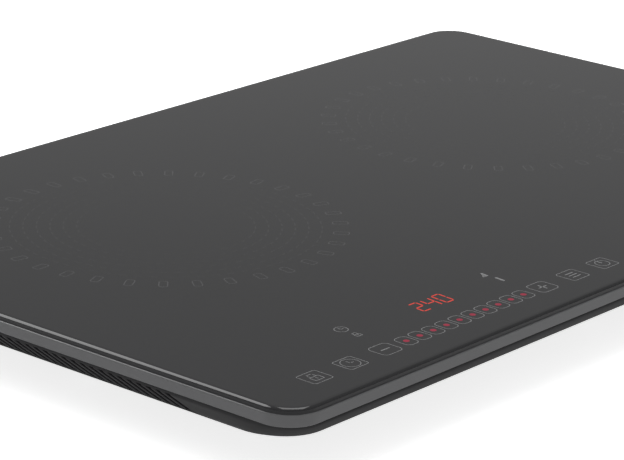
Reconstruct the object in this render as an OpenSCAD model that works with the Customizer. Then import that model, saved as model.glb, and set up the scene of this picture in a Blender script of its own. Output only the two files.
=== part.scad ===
// Portable induction cooktop with two cooking zones, standing on four rubber feet.
// Origin at the middle of the footprint on the table; +X to the right, +Y to the back, +Z up.
// The touch controls run along the front edge (-Y). All sizes are in millimetres.

/* [Body] */
// Overall width, left to right
body_w = 600; // [580:1:640]
// Overall depth, front to back
body_d = 386; // [380:1:400]
// Height of the glass surface above the table
body_h = 47; // [47:0.5:52]
// Plan radius of the body's vertical corners
corner_r = 20; // [14:1:24]

/* [Glass] */
// Thickness of the glass sheet
glass_t = 4; // [3.5:0.5:5]
// Width and height of the bevel around the top of the glass
glass_bevel = 1.2; // [0.6:0.1:1.5]
// How far the glass stands above the frame's lip
glass_rise = 3.1; // [2:0.1:3.3]

/* [Frame and housing] */
// Height of the upright band that the frame shows below its lip
band_h = 6.9; // [6:0.1:8]
// Horizontal distance from the body's side to the edge of the flat underside
belly_inset = 42; // [34:1:43]
// Thickness of the housing's floor
floor_t = 2.2; // [2:0.1:3]
// Horizontal thickness of the housing's sloped walls
wall_t = 3.2; // [2.6:0.1:4]

/* [Vents] */
// Width of one vent slot
slot_w = 3; // [2:0.1:3.6]
// Distance from one vent slot to the next
slot_pitch = 6.35; // [6:0.05:8]
// Number of slots in each side of the housing
side_slots = 36; // [10:1:36]
// Number of slots in the back of the housing
rear_slots = 41; // [11:2:41]

/* [Feet] */
// Height of the rubber feet
foot_h = 10; // [8:0.5:12]
// Diameter of a foot where it stands on the table
foot_d = 24; // [18:1:30]
// Distance of the feet from the middle, left and right
foot_x = 226; // [215:1:228]
// Distance of the feet from the middle, front and back
foot_y = 118; // [110:1:124]

/* [Cooking zones] */
// Distance of each zone's middle from the middle of the glass
zone_x = 140; // [139:1:142]
// Distance of the zones' middle behind the middle of the glass
zone_y = 37; // [36:1:38]
// Radius of the outermost turn of an induction coil
coil_r = 87; // [80:1:87]
// Thickness of the coil's litz wire
litz_d = 3.2; // [2.6:0.1:3.2]
// Distance between neighbouring turns
turn_pitch = 3.5; // [3.4:0.1:4]
// Number of turns in a coil
turns = 16; // [12:1:16]

/* [Fans] */
// Width of a fan's frame
fan_w = 80; // [76:1:80]
// Height of a fan
fan_h = 15; // [14:0.5:16]
// Distance of each fan's axle from the middle
fan_x = 48; // [47:1:49]
// Distance of the fans' axles behind the middle
fan_y = 95; // [94:1:96]
// Number of blades on a rotor
blades = 7; // [5:1:9]
// Diameter of a rotor's axle
axle_d = 3; // [2.5:0.1:3.2]
// Radial running clearance between axle and bearing
axle_gap = 0.05; // [0.02:0.01:0.09]

/* [Control panel] */
// Distance of the key row in front of the middle
key_row_y = 168; // [167:1:169]
// Distance of the display row in front of the middle
display_row_y = 142; // [141:1:143]
// Number of cells in a power slider
slider_cells = 10; // [6:1:10]
// Distance between neighbouring slider cells
slider_pitch = 10.5; // [9:0.1:10.6]
// Distance from a panel's middle to its minus and plus keys
near_key_x = 63.4; // [62:0.1:65]
// Distance between neighbouring keys
key_pitch = 26.2; // [25:0.1:27]

/* [Cable entry] */
// Distance of the cable gland from the middle
gland_x = 200; // [195:1:205]
// Height of the gland's axis above the table
gland_z = 24; // [23:0.5:25]
// Bore of the gland, which takes a round mains lead
gland_bore = 8; // [6:0.5:9]

/* [Hidden] */
$fn = 48;
hair = 0.01;           // thickness of a level inside a hull
over = 1;              // how far a cutter runs past the face it cuts

// heights
floor_z = foot_h + floor_t;
glass_z = body_h - glass_t;
lip_z = body_h - glass_rise;
rim_z = lip_z - band_h;
seal_t = 1;
ledge_z = glass_z - seal_t;
board_t = 1.6;
power_board_z = floor_z + 3;
panel_board_z = glass_z - 6.5;
bracket_z = panel_board_z - 3;
former_z = glass_z - 7.5;
former_t = 2.5;
litz_z = former_z + former_t + litz_d / 2;

// glass and frame
glass_w = body_w - 1.6;
glass_d = body_d - 1.6;
glass_r = corner_r - 2;
pocket_gap = 0.2;
ledge_in = 14;         // from the body's side to the frame's inner edge
lean = 1.5;            // how much the band leans in towards its foot
tongue_in = 5;         // from the body's side to the housing's tongue
tongue_t = 2;
tongue_h = 2.4;

corner_growth = 0.2;   // the belly's corners grow rounder by this much of its inset

// the belly's outline: height above the underside and distance in from the body's side
rim_h = rim_z - foot_h;
BELLY = [
    [0, belly_inset],
    [0.08 * rim_h, 0.84 * belly_inset],
    [0.45 * rim_h, 0.44 * belly_inset],
    [0.88 * rim_h, 0.1 * belly_inset],
    [rim_h - hair, lean]
];
BELLY_INSIDE = [
    [floor_t, 0.84 * belly_inset + wall_t + 1],
    [0.45 * rim_h, 0.44 * belly_inset + wall_t],
    [0.80 * rim_h, 0.17 * belly_inset + wall_t],
    [rim_h + over, tongue_in + tongue_t]
];

// vents run over nearly the whole slope
slot_z = foot_h + 0.13 * rim_h;
slot_h = 0.79 * rim_h;

// fasteners
post_r = 4.5;
boss_h = 6;
screw_r = 1.7;
screw_recess = 3;      // depth of the holes the housing screws' heads sit in
pilot_gap = 0.05;
HOUSING_POSTS = [
    [-243.4, -122], [0, -146], [243.4, -122], [-248, -12],
    [248, -12], [-243.4, 122], [0, 148], [243.4, 122]
];
COIL_EARS = [0, 110, 250];
ear_reach = 99;
function ear_at(side, a) = [side * (zone_x + ear_reach * cos(a)), zone_y + ear_reach * sin(a)];
PANEL_POSTS = [[-218, -150], [-70, -150], [70, -150], [218, -150]];
BOARD_POSTS = [[13, -112], [200, -112], [200, -68], [25, 44]];
small_screw_r = 1.4;

// power board
sink_x = 6;
sink_w = 38;
sink_y = -60;
sink_l = 110;
sink_base_t = 4;
sink_base_z = power_board_z + board_t + 5;
board_front = -118;
board_back = -62;
board_right = 206;

// fans
fan_bore_r = fan_w / 2 - 2;
fan_hole = fan_w / 2 - 4.25;
fan_lug_z = floor_z + 5;
fan_lug_t = 3;
hub_r = 17;
bearing_r = 3.2;
hub_plate_t = 2;
fan_top = floor_z + fan_h;
blade_r = fan_bore_r - 1.5;

// control panel
panel_w = 536;
panel_front = -178;
panel_depth = 47;
KEY_STEPS = [near_key_x, near_key_x + key_pitch, near_key_x + 2 * key_pitch];

// cable entry
gland_wall_y = body_d / 2 - 28;
gland_wall_t = 2.2;
pocket_half = 17;

/* ---- shared shapes ---- */

// flat plate with rounded corners, centred, standing on z = 0
module rounded_plate(w, d, h, r) {
    translate([-w / 2 + r, -d / 2, 0]) cube([w - 2 * r, d, h]);
    translate([-w / 2, -d / 2 + r, 0]) cube([w, d - 2 * r, h]);
    for (sx = [-1, 1], sy = [-1, 1])
        translate([sx * (w / 2 - r), sy * (d / 2 - r), 0]) cylinder(h = h, r = r);
}

// plate with rounded corners whose top edge has a bevel c
module bevelled_plate(w, d, h, r, c) {
    rounded_plate(w, d, h - c, r);
    translate([0, 0, h - c]) {
        rotate([90, 0, 90]) translate([0, 0, -w / 2 + r]) linear_extrude(w - 2 * r)
            polygon([[-d / 2, 0], [d / 2, 0], [d / 2 - c, c], [-d / 2 + c, c]]);
        rotate([90, 0, 0]) translate([0, 0, -d / 2 + r]) linear_extrude(d - 2 * r)
            polygon([[-w / 2, 0], [w / 2, 0], [w / 2 - c, c], [-w / 2 + c, c]]);
        for (sx = [-1, 1], sy = [-1, 1])
            translate([sx * (w / 2 - r), sy * (d / 2 - r), 0]) cylinder(h = c, r1 = r, r2 = r - c);
    }
}

// flat ring between two rounded outlines set in from the body's sides
module outline_ring(outer_in, inner_in, h) {
    difference() {
        rounded_plate(body_w - 2 * outer_in, body_d - 2 * outer_in, h, corner_r - outer_in / 2);
        translate([0, 0, -over])
            rounded_plate(body_w - 2 * inner_in, body_d - 2 * inner_in, h + 2 * over,
                          corner_r - inner_in / 2);
    }
}

// smooth shape through levels of [height, inset]
module lofted(levels) {
    hull() for (level = levels)
        translate([0, 0, foot_h + level[0]])
            rounded_plate(body_w - 2 * level[1], body_d - 2 * level[1], hair,
                          corner_r + corner_growth * level[1], $fn = 32);
}

// round bar from a to b
module bar(a, b, r) {
    v = b - a;
    translate(a) rotate([0, acos(v[2] / norm(v)), atan2(v[1], v[0])]) cylinder(h = norm(v), r = r);
}

// wire of radius r along a list of points; its straights run a little past each bend,
// and every second one is a hair thinner
module wire(points, r) {
    n = len(points) - 1;
    for (i = [1:n]) {
        a = points[i - 1];
        b = points[i];
        past = 0.5 * r * (b - a) / norm(b - a);
        bar(i > 1 ? a - past : a, i < n ? b + past : b, i % 2 == 0 ? 0.95 * r : r);
    }
}

// pan-head screw hanging from its seat at z = 0: the shank points down
module screw(r, l) {
    cylinder(h = 1.1 * r, r = 1.9 * r);
    translate([0, 0, -l]) cylinder(h = l, r = r);
}

// copies the right-hand unit to the left by reflection
module left() {
    mirror([1, 0, 0]) children();
}

/* ---- casing ---- */

module glass_top() {
    color("#15161a") translate([0, 0, glass_z])
        bevelled_plate(glass_w, glass_d, glass_t, glass_r, glass_bevel);
}

module glass_seal() {
    color("#202022") translate([0, 0, ledge_z]) outline_ring(3, ledge_in - 2, seal_t);
}

module upper_frame() {
    color("#6a6b6e") {
        difference() {
            hull() {
                translate([0, 0, lip_z - hair])
                    rounded_plate(body_w, body_d, hair, corner_r, $fn = 32);
                translate([0, 0, rim_z])
                    rounded_plate(body_w - 2 * lean, body_d - 2 * lean, hair, corner_r - 0.5, $fn = 32);
            }
            translate([0, 0, ledge_z])
                rounded_plate(glass_w + 2 * pocket_gap, glass_d + 2 * pocket_gap, glass_t + over,
                              glass_r + pocket_gap);
            translate([0, 0, rim_z - over])
                rounded_plate(body_w - 2 * ledge_in, body_d - 2 * ledge_in, band_h + over,
                              corner_r - ledge_in / 2);
            translate([0, 0, rim_z - over]) outline_ring(tongue_in - 0.2, ledge_in - 3, 3.6 + over);
        }
        for (p = HOUSING_POSTS) frame_post(p);
    }
}

// hollow post that hangs from the frame's ledge on a short arm
module frame_post(p) {
    side = abs(p[0]) > 245;
    edge = side ? body_w / 2 - ledge_in + 1 : body_d / 2 - ledge_in + 1;
    arm = edge - abs(side ? p[0] : p[1]);
    turn = side ? (p[0] > 0 ? 0 : 180) : (p[1] > 0 ? 90 : 270);
    translate([p[0], p[1], ledge_z - 2.5]) rotate([0, 0, turn])
        translate([0, -post_r + 0.5, 0]) cube([arm, 2 * post_r - 1, 2.5]);
    difference() {
        translate([p[0], p[1], floor_z + boss_h]) cylinder(h = ledge_z - floor_z - boss_h, r = post_r);
        translate([p[0], p[1], floor_z + boss_h - over]) cylinder(h = 14 + over, r = screw_r + pilot_gap);
    }
}

module lower_housing() {
    color("#3b3c3f") difference() {
        union() {
            difference() {
                lofted(BELLY);
                difference() {
                    lofted(BELLY_INSIDE);
                    gland_block();
                }
            }
            translate([0, 0, rim_z]) outline_ring(tongue_in, tongue_in + tongue_t, tongue_h);
            for (p = HOUSING_POSTS) post([p[0], p[1]], post_r + 1, boss_h);
            for (s = [-1, 1]) {
                for (a = COIL_EARS) post(ear_at(s, a), 4, former_z - floor_z);
                for (p = BOARD_POSTS) post([s * p[0], p[1]], 3.5, power_board_z - floor_z);
                for (x = [-1, 1], y = [-1, 1])
                    post([s * fan_x + x * fan_hole, fan_y + y * fan_hole], 3.5, fan_lug_z - floor_z);
            }
            for (p = PANEL_POSTS) post(p, 4, bracket_z - floor_z);
        }
        for (p = HOUSING_POSTS) translate([p[0], p[1], foot_h - over]) {
            cylinder(h = over + screw_recess, r = 4);
            cylinder(h = over + floor_t + boss_h + 2, r = screw_r + 0.4);
        }
        for (s = [-1, 1]) {
            for (a = COIL_EARS) pilot(ear_at(s, a), former_z, 12);
            for (p = BOARD_POSTS) pilot([s * p[0], p[1]], power_board_z, 4);
            for (x = [-1, 1], y = [-1, 1])
                pilot([s * fan_x + x * fan_hole, fan_y + y * fan_hole], fan_lug_z, 5);
            translate([s * fan_x, fan_y, foot_h - over]) fan_grille();
        }
        for (p = PANEL_POSTS) pilot(p, bracket_z, 10);
        for (x = [-foot_x, foot_x], y = [-foot_y, foot_y])
            translate([x, y, foot_h - over]) cylinder(h = floor_t + 2 * over, r = 4);
        side_vents();
        rear_vents();
        gland_pocket();
    }
}

// round post on the housing's floor
module post(p, r, h) {
    translate([p[0], p[1], floor_z - floor_t / 2]) cylinder(h = h + floor_t / 2, r = r);
}

// blind hole for a self-tapping screw, opening at height z
module pilot(p, z, l) {
    translate([p[0], p[1], z - l]) cylinder(h = l + over, r = small_screw_r + pilot_gap);
}

module side_vents() {
    first = -(side_slots - 1) / 2 * slot_pitch;
    for (s = [-1, 1], i = [0:side_slots - 1])
        translate([s * (body_w / 2 - belly_inset / 2 + 1) - belly_inset / 2,
                   first + i * slot_pitch - slot_w / 2, slot_z])
            cube([belly_inset, slot_w, slot_h]);
}

module rear_vents() {
    first = -(rear_slots - 1) / 2 * slot_pitch;
    for (i = [0:rear_slots - 1])
        translate([first + i * slot_pitch - slot_w / 2, body_d / 2 - belly_inset + 1, slot_z])
            cube([slot_w, belly_inset, slot_h]);
}

// parallel air slots inside a circle under a fan
module fan_grille() {
    for (i = [-5:5]) {
        half = sqrt(pow(blade_r, 2) - pow(i * slot_pitch, 2));
        for (s = [0, 1]) mirror([s, 0, 0])
            translate([2, i * slot_pitch - slot_w / 2, 0]) cube([half - 2, slot_w, floor_t + 2 * over]);
    }
}

// solid lump inside the back wall that the cable recess is cut from
module gland_block() {
    translate([gland_x - pocket_half - gland_wall_t, gland_wall_y - gland_wall_t, foot_h])
        cube([2 * (pocket_half + gland_wall_t), 40, rim_h - 0.4]);
}

// recess in the back wall, open to the rear, with the hole for the gland
module gland_pocket() {
    translate([gland_x - pocket_half, gland_wall_y, foot_h - over])
        cube([2 * pocket_half, 40, rim_h - gland_wall_t]);
    translate([gland_x, gland_wall_y + over, gland_z]) rotate([90, 0, 0])
        cylinder(h = gland_wall_t + 2 * over, r = gland_bore / 2 + 2);
}

module foot(x, y) {
    r = foot_d / 2;
    color("#26272a") translate([x, y, 0]) rotate_extrude() polygon([
        [0, 0], [r - 1, 0], [r, 1], [r - 1.5, foot_h], [3.8, foot_h],
        [3.8, floor_z], [5, floor_z + 0.4], [3, floor_z + 2.6], [0, floor_z + 2.6]
    ]);
}

module cable_gland() {
    bore = gland_bore / 2;
    color("#1d1e20") translate([gland_x, gland_wall_y, gland_z]) rotate([-90, 0, 0]) rotate_extrude()
        polygon([
            [bore, -gland_wall_t - 4], [bore + 2, -gland_wall_t - 4], [bore + 3.4, -gland_wall_t],
            [bore + 2, -gland_wall_t], [bore + 2, 0], [bore + 4, 0], [bore + 4, 2],
            [bore + 2.6, 3], [bore + 1.6, 14], [bore, 14]
        ]);
}

/* ---- cooking zone, drawn for the right-hand side ---- */

module coil_former() {
    color("#d8d4c8") translate([zone_x, zone_y, former_z]) difference() {
        union() {
            cylinder(h = former_t, r = coil_r + 6);
            difference() {
                cylinder(h = former_t + litz_d, r = coil_r + 6);
                translate([0, 0, -over]) cylinder(h = former_t + litz_d + 2 * over, r = coil_r + 4);
            }
            for (a = COIL_EARS) rotate([0, 0, a]) {
                translate([coil_r + 4, -6, 0]) cube([ear_reach - coil_r - 4, 12, former_t]);
                translate([ear_reach, 0, 0]) cylinder(h = former_t, r = 6);
            }
        }
        translate([0, 0, -over]) cylinder(h = former_t + 2 * over, r = 7);
        // way out for the coil's outer tail
        translate([3, -coil_r - 8, -over]) cube([14, 9, former_t + litz_d + 2 * over]);
        for (k = [0:7]) rotate([0, 0, 45 * k]) translate([26, -7, -over])
            cube([52, 14, former_t + 2 * over]);
        for (a = COIL_EARS) rotate([0, 0, a]) translate([ear_reach, 0, -over])
            cylinder(h = former_t + litz_d + 2 * over, r = small_screw_r + 0.3);
    }
}

// flat spiral of half rings, each pair one pitch wider than the last
module coil_winding() {
    inner = coil_r - turns * turn_pitch;
    color("#b5673a") translate([zone_x, zone_y, litz_z]) rotate([0, 0, -90]) for (i = [0:turns - 1]) {
        half_turn(inner + i * turn_pitch, 0);
        translate([turn_pitch / 2, 0, 0]) half_turn(inner + (i + 0.5) * turn_pitch, 180);
    }
}

module half_turn(r, start) {
    rotate([0, 0, start]) rotate_extrude(angle = 180) translate([r, 0]) circle(r = litz_d / 2);
}

module ferrite_bars() {
    color("#3a3a3e") for (k = [0:7])
        translate([zone_x, zone_y, former_z - 4.5]) rotate([0, 0, 22.5 + 45 * k])
            translate([32, -6, 0]) cube([50, 12, 4.5]);
}

module coil_insulator() {
    color("#e8e3d4") translate([zone_x, zone_y, litz_z + litz_d / 2]) difference() {
        cylinder(h = 1.2, r = coil_r + 3);
        translate([0, 0, -over]) cylinder(h = 1.2 + 2 * over, r = 9);
    }
}

// sprung bead under the glass, in a moulded holder that drops into the coil's middle
module temperature_sensor() {
    top = former_z + former_t;
    color("#c9c9c4") translate([zone_x, zone_y, 0]) {
        rotate_extrude() polygon([
            [0, former_z - 1], [6.7, former_z - 1], [6.7, top], [8.5, top], [8.5, top + 1],
            [5, top + 1.4], [5, glass_z - 1.4], [3, glass_z], [0, glass_z]
        ]);
        for (s = [-1, 1])
            wire([[s * 2, 0, former_z - 1], [s * 2, 0, former_z - 8], [s * 2, -105, former_z - 8],
                  [s * 2, -105, power_board_z + board_t]], 0.7);
    }
}

// the coil's two tails down to the power board
module coil_leads() {
    inner = coil_r - turns * turn_pitch;
    x = zone_x;
    y = zone_y;
    drop = power_board_z + board_t;
    color("#a85f38") {
        wire([[x, y - coil_r, litz_z], [x + 7, y - coil_r, litz_z], [x + 12, y - coil_r - 9, litz_z - 3],
              [x + 12, board_back - 6, former_z - 6], [x + 12, board_back - 6, drop]], litz_d / 2);
        wire([[x, y - inner, litz_z], [x - 3, y - inner, litz_z], [x - 5, y - inner, former_z - 6],
              [x - 10, board_back - 6, former_z - 6], [x - 10, board_back - 6, drop]], litz_d / 2);
    }
}

/* ---- power electronics, drawn for the right-hand side ---- */

module power_board() {
    color("#2f6b45") difference() {
        translate([0, 0, power_board_z]) linear_extrude(board_t) polygon([
            [sink_x, board_front], [board_right, board_front], [board_right, board_back],
            [sink_x + sink_w, board_back], [sink_x + sink_w, sink_y + sink_l], [sink_x, sink_y + sink_l]
        ]);
        for (p = BOARD_POSTS) translate([p[0], p[1], power_board_z - over])
            cylinder(h = board_t + 2 * over, r = small_screw_r + 0.2);
    }
}

module heat_sink() {
    fins = 7;
    fin_t = 1.8;
    color("#b9bcc0") {
        difference() {
            translate([sink_x, sink_y, sink_base_z]) cube([sink_w, sink_l, sink_base_t]);
            for (p = BOARD_POSTS) if (p[1] > sink_y) translate([p[0], p[1], sink_base_z - over])
                cylinder(h = sink_base_t + 2 * over, r = 4);
        }
        for (i = [0:fins - 1])
            translate([sink_x + i * (sink_w - fin_t) / (fins - 1), sink_y, sink_base_z + sink_base_t])
                cube([fin_t, i == 3 ? sink_l - 12 : sink_l, glass_z - 5 - sink_base_z - sink_base_t]);
    }
}

// two transistors clamped between the board and the heat sink
module power_transistors() {
    color("#232427") for (y = [-14, 14]) {
        translate([sink_x + 11, y - 8, power_board_z + board_t]) cube([16, 18, 5]);
        for (i = [-1, 0, 1])
            translate([sink_x + 19 + 5 * i - 0.6, y - 12, power_board_z + board_t]) cube([1.2, 4, 1.2]);
    }
}

module rectifier() {
    color("#2a2b2e") {
        translate([sink_x + 5, -52, power_board_z + board_t]) cube([28, 20, 5]);
        for (i = [0:3])
            translate([sink_x + 8 + 6.6 * i, -55, power_board_z + board_t]) cube([1.2, 3, 1.2]);
    }
}

module film_capacitors() {
    color("#b8882f") translate([0, 0, power_board_z + board_t]) {
        translate([54, -112, 0]) cube([32, 16, 22]);
        translate([54, -88, 0]) cube([32, 14, 18]);
        translate([92, -92, 0]) cube([22, 18, 16]);
    }
}

// wound ring core standing flat on the board
module filter_choke() {
    color("#a8632c") translate([132, -92, power_board_z + board_t]) {
        translate([0, 0, 1]) rotate_extrude() translate([8, 0]) square([7, 9]);
        for (k = [0:17]) rotate([0, 0, 20 * k]) translate([11.5, 0, 5.5]) rotate([90, 0, 0])
            translate([0, 0, -0.7]) linear_extrude(1.4) difference() {
                square([10, 11], center = true);
                square([6.4, 8.4], center = true);
            }
    }
}

module supply_transformer() {
    color("#d9b13c") translate([172, -98, power_board_z + board_t]) {
        cube([18, 16, 4]);
        translate([2, 2, 4]) cube([14, 12, 9]);
        translate([0, 0, 13]) cube([18, 16, 4]);
    }
}

module fuse() {
    z = power_board_z + board_t + 4;
    color("#cfd3d6") {
        bar([150, -112, z], [170, -112, z], 2.5);
        for (x = [151, 165])
            translate([x, -112.5, power_board_z + board_t]) cube([4, 1, 1.6]);
    }
}

/* ---- fan, drawn about its own axle ---- */

module at_fan(side) {
    translate([side * fan_x, fan_y, 0]) children();
}

module fan_frame() {
    tube_z = floor_z + 5;
    color("#1f2023") difference() {
        union() {
            difference() {
                union() {
                    translate([0, 0, floor_z]) cylinder(h = fan_h, r = fan_w / 2 - 0.6);
                    translate([0, 0, fan_lug_z]) rounded_plate(fan_w, fan_w, fan_lug_t, 4.25);
                }
                translate([0, 0, floor_z - over]) cylinder(h = fan_h + 2 * over, r = fan_bore_r);
            }
            translate([0, 0, fan_top - hub_plate_t]) {
                cylinder(h = hub_plate_t, r = hub_r);
                for (a = [30, 150, 270]) rotate([0, 0, a]) translate([hub_r - 1, -2, 0])
                    cube([fan_bore_r - hub_r + 2, 4, hub_plate_t - 0.3]);
            }
            translate([0, 0, tube_z]) cylinder(h = fan_top - 0.5 - tube_z, r = bearing_r + 1.4);
        }
        translate([0, 0, tube_z - over]) cylinder(h = fan_top - 0.8 - tube_z + over, r = bearing_r);
        for (x = [-1, 1], y = [-1, 1]) translate([x * fan_hole, y * fan_hole, fan_lug_z - over])
            cylinder(h = fan_lug_t + 2 * over, r = small_screw_r + 0.2);
    }
}

module fan_bearing() {
    color("#b08d4f") translate([0, 0, floor_z + 5.4]) difference() {
        cylinder(h = 7, r = bearing_r);
        translate([0, 0, -over]) cylinder(h = 7 + 2 * over, r = axle_d / 2 + axle_gap);
    }
}

module fan_shaft() {
    color("#c8cacd") translate([0, 0, floor_z + 2]) cylinder(h = fan_h - 3.2, r = axle_d / 2);
}

// cup with a ring of tilted blades; the cup opens upwards over the bearing tube
module fan_rotor() {
    cup_h = 10;
    color("#2c2d31") translate([0, 0, floor_z + 2]) difference() {
        union() {
            cylinder(h = cup_h, r = hub_r);
            for (k = [0:blades - 1]) rotate([0, 0, k * 360 / blades]) fan_blade(cup_h);
        }
        translate([0, 0, 1.8]) cylinder(h = cup_h, r = hub_r - 1.6);
        translate([0, 0, -over]) cylinder(h = cup_h, r = axle_d / 2);
    }
}

// flat blade, tilted to push the air upwards
module fan_blade(h) {
    translate([hub_r - 1, 0, h / 2]) rotate([48, 0, 0])
        translate([0, -0.6, -h / 2]) cube([blade_r - hub_r, 1.2, h]);
}

/* ---- control panel ---- */

module panel_plate(z, t, post_hole) {
    difference() {
        translate([-panel_w / 2, panel_front, z]) cube([panel_w, panel_depth, t]);
        for (p = HOUSING_POSTS) if (p[1] < -140) translate([p[0], p[1], z - over])
            cylinder(h = t + 2 * over, r = post_hole);
        for (p = PANEL_POSTS) translate([p[0], p[1], z - over])
            cylinder(h = t + 2 * over, r = small_screw_r + 0.2);
    }
}

module control_board() {
    color("#256046") panel_plate(panel_board_z, board_t, post_r + 1.5);
}

// tray with raised long edges that carries the control board
module control_bracket() {
    color("#8c8f93") {
        panel_plate(bracket_z, 1.6, post_r + 1.5);
        for (y = [panel_front, panel_front + panel_depth - 3])
            translate([-panel_w / 2, y, bracket_z + 1.6])
                cube([panel_w, 3, panel_board_z - bracket_z - 1.6]);
    }
}

module display(side) {
    color("#5c1512") translate([side * zone_x - 20, -display_row_y - 8, panel_board_z + board_t])
        cube([40, 16, 4.4]);
}

// helical key springs, drawn as sleeves between the board and the glass
module key_spring(r) {
    difference() {
        cylinder(h = glass_z - panel_board_z - board_t, r = r);
        translate([0, 0, -over]) cylinder(h = glass_z, r = r - 0.8);
    }
}

module touch_springs() {
    color("#c9ccd0") for (side = [-1, 1]) translate([side * zone_x, -key_row_y, panel_board_z + board_t]) {
        for (s = [-1, 1], k = KEY_STEPS) translate([s * k, 0, 0]) key_spring(4.5);
        for (i = [0:slider_cells - 1]) translate([(i - (slider_cells - 1) / 2) * slider_pitch, 0, 0])
            key_spring(3.4);
    }
}

module indicator_leds() {
    color("#e8e0d0") for (side = [-1, 1]) translate([side * zone_x, 0, panel_board_z + board_t]) {
        for (i = [0:slider_cells - 1])
            translate([(i - (slider_cells - 1) / 2) * slider_pitch - 0.8, -key_row_y - 0.8, 0])
                cube([1.6, 1.6, 1]);
        for (s = [-1, 1], y = [-135, -145]) translate([s * 57.4 - 1.5, y - 1.5, 0]) cube([3, 3, 3]);
    }
}

// flat cables from the control board down to each power board, with their plugs
module ribbon_cables() {
    rear = panel_front + panel_depth;
    top = panel_board_z + board_t;
    low = power_board_z + board_t;
    color("#a9adb2") for (s = [0, 1]) mirror([s, 0, 0]) {
        translate([24, rear - 7, top]) cube([22, 6, 4]);
        translate([24, board_front + 1, low]) cube([22, 6, 5]);
        translate([26, 0, 0]) rotate([90, 0, 90]) linear_extrude(18) polygon([
            [rear - 1, top + 1.5], [rear + 6, top + 1.5], [rear + 6, low + 3], [board_front + 1, low + 3],
            [board_front + 1, low + 2], [rear + 5, low + 2], [rear + 5, top + 0.5], [rear - 1, top + 0.5]
        ]);
    }
}

/* ---- mains wiring ---- */

module terminal_block() {
    color("#e4e1d6") difference() {
        translate([gland_x - 17, 130, floor_z]) cube([34, 17, 14]);
        for (x = [-10, 0, 10]) {
            translate([gland_x + x, 148, floor_z + 6]) rotate([90, 0, 0]) cylinder(h = 19, r = 2);
            translate([gland_x + x, 138.5, floor_z + 9]) cylinder(h = 6, r = 2.4);
        }
    }
}

module mains_leads() {
    z = floor_z + 1.4;
    low = power_board_z + board_t;
    color("#7a4a2c") {
        for (i = [-1, 0])
            wire([[gland_x + 10 * i, 136, floor_z + 6], [gland_x + 10 * i, 126, floor_z + 6],
                  [gland_x + 10 * i, 118, z], [gland_x + 10 * i, board_back + 8, z],
                  [gland_x - 6 + 10 * i, board_back - 2, low + 4],
                  [gland_x - 12 + 10 * i, board_back - 12, low + 4],
                  [gland_x - 12 + 10 * i, board_back - 12, low]], 1.3);
        for (y = [-84, -76])
            wire([[12, y, low], [12, y, low + 4], [-12, y, low + 4], [-12, y, low]], 1.3);
    }
}

/* ---- fasteners ---- */

module housing_screws() {
    color("#a4a7ab") for (p = HOUSING_POSTS) translate([p[0], p[1], foot_h + screw_recess])
        mirror([0, 0, 1]) screw(screw_r, 16);
}

module coil_screws() {
    color("#a4a7ab") for (s = [-1, 1], a = COIL_EARS)
        translate([ear_at(s, a)[0], ear_at(s, a)[1], former_z + former_t]) screw(small_screw_r, 10);
}

module board_screws() {
    color("#a4a7ab") for (s = [-1, 1], p = BOARD_POSTS)
        translate([s * p[0], p[1], power_board_z + board_t]) screw(small_screw_r, 4.5);
}

module fan_screws() {
    color("#a4a7ab") for (s = [-1, 1], x = [-1, 1], y = [-1, 1])
        translate([s * fan_x + x * fan_hole, fan_y + y * fan_hole, fan_lug_z + fan_lug_t])
            screw(small_screw_r, 7);
}

module panel_screws() {
    color("#a4a7ab") for (p = PANEL_POSTS)
        translate([p[0], p[1], panel_board_z + board_t]) screw(small_screw_r, 12);
}

glass_top();
glass_seal();
upper_frame();
lower_housing();
foot(-foot_x, -foot_y);  // foot_front_left
foot(foot_x, -foot_y);  // foot_front_right
foot(-foot_x, foot_y);  // foot_rear_left
foot(foot_x, foot_y);  // foot_rear_right
left() coil_former();  // coil_former_left
coil_former();  // coil_former_right
left() coil_winding();  // coil_winding_left
coil_winding();  // coil_winding_right
left() ferrite_bars();  // ferrite_bars_left
ferrite_bars();  // ferrite_bars_right
left() coil_insulator();  // coil_insulator_left
coil_insulator();  // coil_insulator_right
left() temperature_sensor();  // temperature_sensor_left
temperature_sensor();  // temperature_sensor_right
left() coil_leads();  // coil_leads_left
coil_leads();  // coil_leads_right
left() power_board();  // power_board_left
power_board();  // power_board_right
left() heat_sink();  // heat_sink_left
heat_sink();  // heat_sink_right
left() power_transistors();  // power_transistors_left
power_transistors();  // power_transistors_right
left() rectifier();  // rectifier_left
rectifier();  // rectifier_right
left() film_capacitors();  // film_capacitors_left
film_capacitors();  // film_capacitors_right
left() filter_choke();  // filter_choke_left
filter_choke();  // filter_choke_right
supply_transformer();
fuse();
at_fan(-1) fan_frame();  // fan_frame_left
at_fan(1) fan_frame();  // fan_frame_right
at_fan(-1) fan_rotor();  // fan_rotor_left
at_fan(1) fan_rotor();  // fan_rotor_right
at_fan(-1) fan_shaft();  // fan_shaft_left
at_fan(1) fan_shaft();  // fan_shaft_right
at_fan(-1) fan_bearing();  // fan_bearing_left
at_fan(1) fan_bearing();  // fan_bearing_right
control_board();
control_bracket();
display(-1);  // display_left
display(1);  // display_right
touch_springs();
indicator_leds();
ribbon_cables();
terminal_block();
mains_leads();
cable_gland();
housing_screws();
coil_screws();
board_screws();
fan_screws();
panel_screws();
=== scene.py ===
"""Two-zone induction cooktop: looks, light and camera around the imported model."""
import math

import bmesh
import bpy
from mathutils import Euler, Matrix, Vector


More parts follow.
